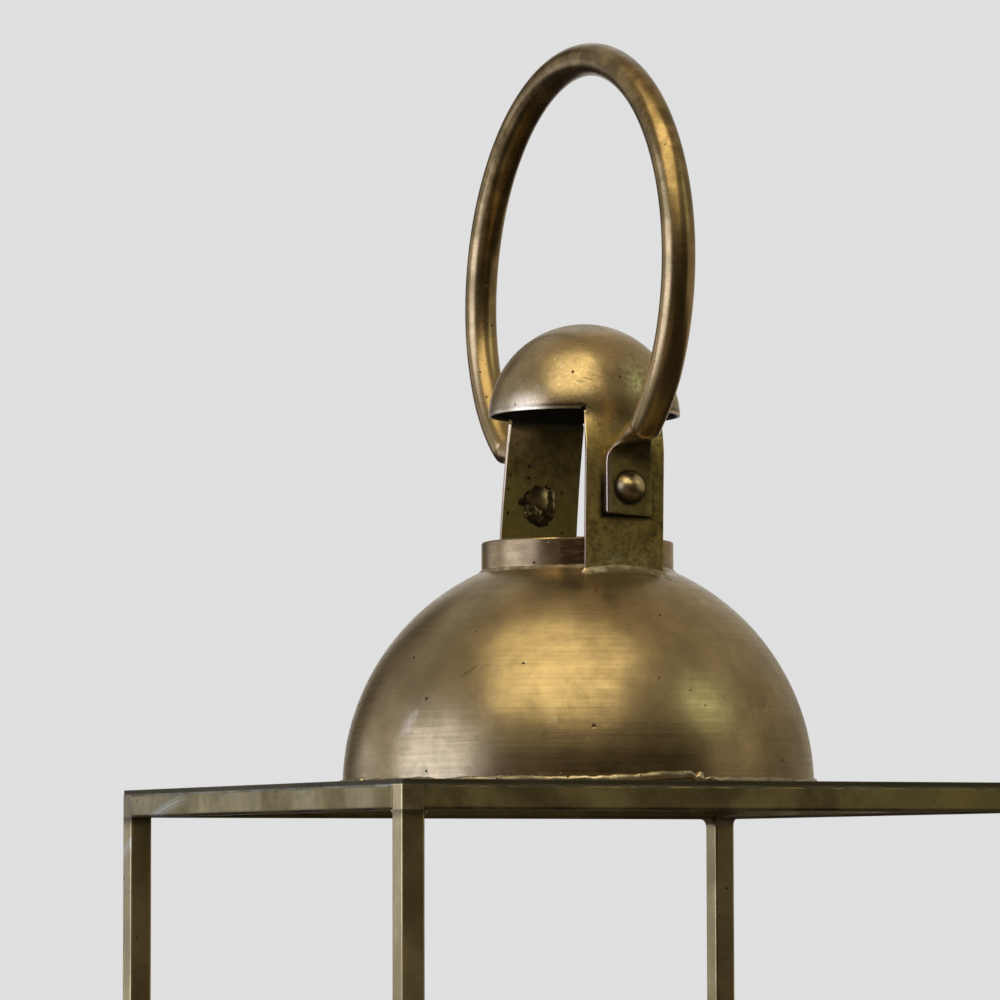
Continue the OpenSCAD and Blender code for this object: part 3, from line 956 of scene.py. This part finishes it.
rivet_brass = aged_brass(
    "rivet_brass", (0.54, 0.42, 0.24), (0.05, 0.032, 0.009), (0.12, 0.12, 0.05, 0.2), 0.32, 0.42,
    oxidised=(0.0, 0.45), size=0.012, pitted=0.02, pit_scale=700, dents=0.1, grained=0.3, scored=0.0,
    masked=0.25, extra=rivet_marks)
coat(rivet_brass, "rivet_front", "rivet_back")

# Hammered ends of the rivets
# Inside the straps the shanks are hammered over. The blows left a rough lump of lobes whose low places near the
# strap are painted black as shade, and a drop of solder has stuck above the back one.
lump = bmesh.new()
strap_in = strap_out - sheet
for side in (-1, 1):
    for across, up, wide, tall, high in ((0.0, 0.0, 0.0088, 0.0098, 0.0010),
                                         (0.0046, 0.0018, 0.0034, 0.0060, 0.0027),
                                         (-0.0036, -0.0028, 0.0046, 0.0041, 0.0025)):
        blow = bmesh.ops.create_icosphere(lump, subdivisions=5, radius=1)["verts"]
        for v in blow:
            v.co = Vector((v.co.x * wide + across, v.co.y * high, v.co.z * tall + up))
        swell(lump, blow, 0.0007, 170)
        swell(lump, blow, 0.0003, 520)
        bmesh.ops.translate(lump, verts=blow, vec=(0.0022, side * strap_in, rivet_z - 0.0015))
for v in lump.verts:
    v.co.y = math.copysign(min(abs(v.co.y), strap_in + 0.0004), v.co.y)
drop = bmesh.ops.create_icosphere(lump, subdivisions=3, radius=0.0011)["verts"]
bmesh.ops.translate(lump, verts=drop, vec=(-0.0125, strap_in - 0.0002, roof_z + 0.1515))


def shade_hollows(skin):
    # Painted shade: the low places between the lobes and at the lump's foot are painted black.
    hollow_shade = eased(abs(skin.at[1]), strap_in - 0.0014, strap_in - 0.0008)
    skin.paint((0.010, 0.007, 0.003), hollow_shade * 0.9)
    skin.dull(hollow_shade)


lump_brass = aged_brass(
    "hammered_brass", (0.40, 0.31, 0.16), (0.085, 0.066, 0.024), (0.10, 0.10, 0.05, 0.3), 0.28, 0.5,
    oxidised=(0.2, 0.8), size=0.01, pitted=0.3, pit_scale=520, dents=0.5, extra=shade_hollows)
hammered_ends = smooth(stood("hammered_ends", lump, lump_brass), 50)
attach(hammered_ends, "lantern")

# Ring handle
# Round bar, 14 mm, bent to a large ring with a tighter bend at each end. Each end is forged
# down to a flat tab that lies against the strap and turns on its rivet.
ring_x, ring_z, ring_r, hook_r, rod_r = -0.0004, roof_z + 0.2164, 0.0961, 0.0679, 0.007
bend_at, ring_lean = math.radians(61), 0.65
fold_z, fold_slope = roof_z + 0.1436, 0.17
inset = ring_r - hook_r
rounds = 56
ring_mid = Vector((ring_x, 0, ring_z))
tilt = Matrix.Translation(ring_mid) @ turned(ring_lean, "Y") @ Matrix.Translation(-ring_mid)


def rod_loop(at, outward, across, thick, square=0.0, corner=0.0006):
    """Points round the bar. across is half its width along X, thick half its depth along outward,
    and square runs from 0, round, to 1, a flat bar with small round corners."""
    points = []
    straight = 0.55
    for step in range(rounds):
        turn = math.tau * step / rounds
        quarter, along = divmod((step + rounds // 8) % rounds, rounds // 4)
        share = along / (rounds // 4) * 2 - 1
        bend = min(1.0, max(0.0, (abs(share) - straight) / (1 - straight))) * math.pi / 4
        near = math.copysign(corner * math.sin(bend), share) * (abs(share) > straight)
        far = corner * (1 - math.cos(bend))
        run = math.copysign(min(1.0, abs(share) / straight), share)
        if quarter in (0, 2):
            flat = Vector((across - far, run * (thick - corner) + near))
        else:
            flat = Vector((-run * (across - corner) - near, thick - far))
        if quarter in (2, 3):
            flat = -flat
        spot = Vector((math.cos(turn) * across, math.sin(turn) * thick)).lerp(flat, square)
        points.append(at + Vector((spot.x, 0, 0)) + outward * spot.y)
    return points


def forged_end(side):
    """Loops from the bar's round section down to the tab's lower edge. Each row of keys holds the
    inner and outer points, half the width, how square it is and the middle along X."""
    keys = [
        (0.0622, 0.1547, 0.0708, 0.1437, 0.0070, 0.00, -0.0002),
        (0.0580, 0.1530, 0.0664, 0.1440, 0.0071, 0.08, 0.0002),
        (0.0540, 0.1508, 0.0622, 0.1441, 0.0073, 0.22, 0.0006),
        (0.0503, 0.1486, 0.0582, 0.1440, 0.0077, 0.38, 0.0011),
        (0.0470, 0.1462, 0.0545, 0.1437, 0.0083, 0.55, 0.0014),
        (0.0447, 0.1440, 0.0513, 0.1431, 0.0090, 0.70, 0.0016),
        (0.0434, 0.1418, 0.0487, 0.1421, 0.0096, 0.84, tab_x),
        (tab_in, 0.1396, 0.0471, 0.1403, 0.0101, 0.94, tab_x),
        (tab_in, 0.1372, 0.0465, 0.1378, 0.0104, 1.0, tab_x),
    ]
    for high, half in ((0.1345, 0.0106), (0.1260, 0.0106), (0.1180, 0.0106), (0.1142, 0.0105)):
        keys.append((tab_in, high, tab_out, high, half, 1.0, tab_x))
    keys.append((tab_in + 0.0003, 0.1136, tab_out - 0.0004, 0.1136, 0.0101, 1.0, tab_x))
    made = []
    for step in range(1, len(keys) * 3 - 2):
        n, t = step // 3, step % 3 / 3
        four = [keys[min(len(keys) - 1, max(0, n + k))] for k in (-1, 0, 1, 2)]
        row = [b + 0.5 * t * (c - a + t * (2 * a - 5 * b + 4 * c - d + t * (3 * (b - c) + d - a)))
               for a, b, c, d in zip(*four)]
        inner = Vector((row[6], side * row[0], roof_z + row[1]))
        outer = Vector((row[6], side * row[2], roof_z + row[3]))
        square = min(1.0, max(0.0, row[5]))
        loop = rod_loop((inner + outer) / 2, (outer - inner).normalized(), row[4], (outer - inner).length / 2,
                        square, 0.0006 + 0.0014 * (1 - square))
        for p in loop:
            near = max(0.0, 1 - abs(p.z - fold_z) / 0.0075)
            p.z += fold_slope * (p.x - tab_x) * near * near * (3 - 2 * near)
        made.append(loop)
    return made


def bent_loop(mid, turn, radius, thick):
    """A loop of the bar where it is bent, turned from straight down towards the front."""
    out = Vector((0, -math.sin(turn), -math.cos(turn)))
    return [tilt @ p for p in rod_loop(mid + out * radius, out, thick, thick)]


hook_mid = ring_mid + Vector((0, -inset * math.sin(bend_at), -inset * math.cos(bend_at)))
hook = [bent_loop(hook_mid, math.radians(38 + step * 7.6), hook_r, rod_r - 0.00005 * (3 - step))
        for step in range(4)]
bow = [bent_loop(ring_mid, bend_at + (math.tau - 2 * bend_at) * step / 96, ring_r, rod_r)
       for step in range(97)]
back_hook = [[Vector((p.x, -p.y, p.z)) for p in loop] for loop in hook]
loops = forged_end(-1)[::-1] + hook + bow + back_hook[::-1] + forged_end(1)
handle = bmesh.new()
current = bmesh.ops.create_circle(handle, segments=rounds, radius=0.01, cap_ends=True)["verts"]
end_edges = handle.edges[:]
for v, p in zip(current, loops[0]):
    v.co = p
for loop in loops[1:]:
    came, end_edges = draw_out(handle, end_edges)
    follow = {back: v for v, back in came.items()}
    current = [follow[v] for v in current]
    for v, p in zip(current, loop):
        v.co = p
bmesh.ops.contextual_create(handle, geom=end_edges)
skew, skew_from = math.tan(math.radians(3)), roof_z + 0.1155
for v in handle.verts:
    if v.co.z < skew_from:
        v.co.z -= (v.co.x - tab_x) * skew * min(1.0, (skew_from - v.co.z) / 0.001)
bmesh.ops.recalc_face_normals(handle, faces=handle.faces[:])


def tab_marks(skin):
    """The tabs are olive like the straps. Their bare left side and the shoulder's worn lip carry a painted
    highlight, and painted shadow lies round the rivet's head, under the shoulder and at the tab's upper right.
    The ring is browner at its top."""
    x, y, z = skin.at
    skin.paint((0.100, 0.066, 0.026), eased(z, 0.54, 0.68) * skin.cloud(0.34, 0.60, 90, 4, 0.6) * 0.62)
    low = faded(z, fold_z - 0.0051, fold_z + 0.0014)
    skin.paint(blend((0.290, 0.235, 0.072), (0.085, 0.064, 0.014), skin.cloud(0.30, 0.70, 150, 5, 0.65)),
               low * 0.85)
    skin.dull(low * 0.8)
    # Painted highlight: the tab's bare left side is painted pale pink.
    flank_highlight = faded(x, tab_x - tab_half + 0.0013, tab_x - tab_half + 0.0022) * low
    skin.paint((0.84, 0.66, 0.54), flank_highlight * 0.9)
    skin.polish(flank_highlight * 0.8)
    fold, out = (x - tab_x) * -fold_slope + (z - fold_z), abs(y)
    # The bright line along the shoulder's lip is worn metal and a painted highlight.
    worn_lip_highlight = band(fold, -0.0004, 0.0004, 0.0010, 0.0022)
    skin.paint((0.70, 0.58, 0.42), worn_lip_highlight * eased(out, 0.0480, 0.0500) * 0.55)
    # Painted shadow: under the shoulder, at the tab's upper right and round the rivet's head.
    shade_below = band(fold, -0.0081, -0.0021, -0.0004, 0.0004)
    shade_below = shade_below * faded(out, 0.0560, 0.0640) * eased(x, -0.0085, 0.0010, 0.35, 1)
    corner = eased(x, -0.001, 0.004) * eased(z, fold_z - 0.0131, fold_z - 0.0046) * low
    round_head = faded(skin.beside(tab_x, rivet_z), 0.0067, 0.0084) * low
    painted_shadow = held(most(round_head, shade_below, corner * 0.85) * (0.88 - flank_highlight))
    skin.paint((0.008, 0.006, 0.002), painted_shadow)
    skin.dull(painted_shadow)


ring_brass = aged_brass(
    "ring_brass", (0.425, 0.300, 0.147), (0.058, 0.038, 0.007), (0.10, 0.09, 0.030, 0.2), 0.265,
    0.385, oxidised=(0.0, 0.35), size=0.05, pitted=0.03, pit_scale=420, dents=0.09, grained=0.5,
    scored=0.02, masked=0.5, extra=tab_marks)
ring = smooth(stood("ring_handle_bar", handle, ring_brass), 42)
rounder = ring.modifiers.new("rounded", "SUBSURF")
rounder.levels = rounder.render_levels = 1
settle(ring)
smooth(ring, 42)
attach(ring, "ring")
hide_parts("ring_handle")

# Floor sheet and candle dish
# A notched floor sheet lies on the bottom rails. The pressed dish on it holds the candle, which
# is pushed on to the steel spike; a nut under the floor holds spike, dish and floor together.
floor_brass = aged_brass(
    "floor_brass", (0.34, 0.28, 0.17), (0.10, 0.08, 0.036), (0.22, 0.25, 0.18, 0.5), 0.34, 0.55,
    oxidised=(0.3, 0.85), size=0.07, pitted=0.1)
coat(floor_brass, "floor_plate")
dish_brass = aged_brass(
    "dish_brass", (0.42, 0.32, 0.17), (0.12, 0.088, 0.04), (0.22, 0.22, 0.12, 0.3), 0.28, 0.46,
    oxidised=(0.12, 0.7), size=0.05, lines=(1.5, 700), pitted=0.06)
coat(dish_brass, "candle_dish")
spike_steel = aged_brass(
    "spike_steel", (0.46, 0.45, 0.43), (0.13, 0.11, 0.09), (0.20, 0.12, 0.07, 0.5), 0.3, 0.55,
    oxidised=(0.1, 0.6), size=0.02, lines=(2.0, 1500), pitted=0.1, pit_scale=600)
coat(spike_steel, "candle_spike", "spike_nut")
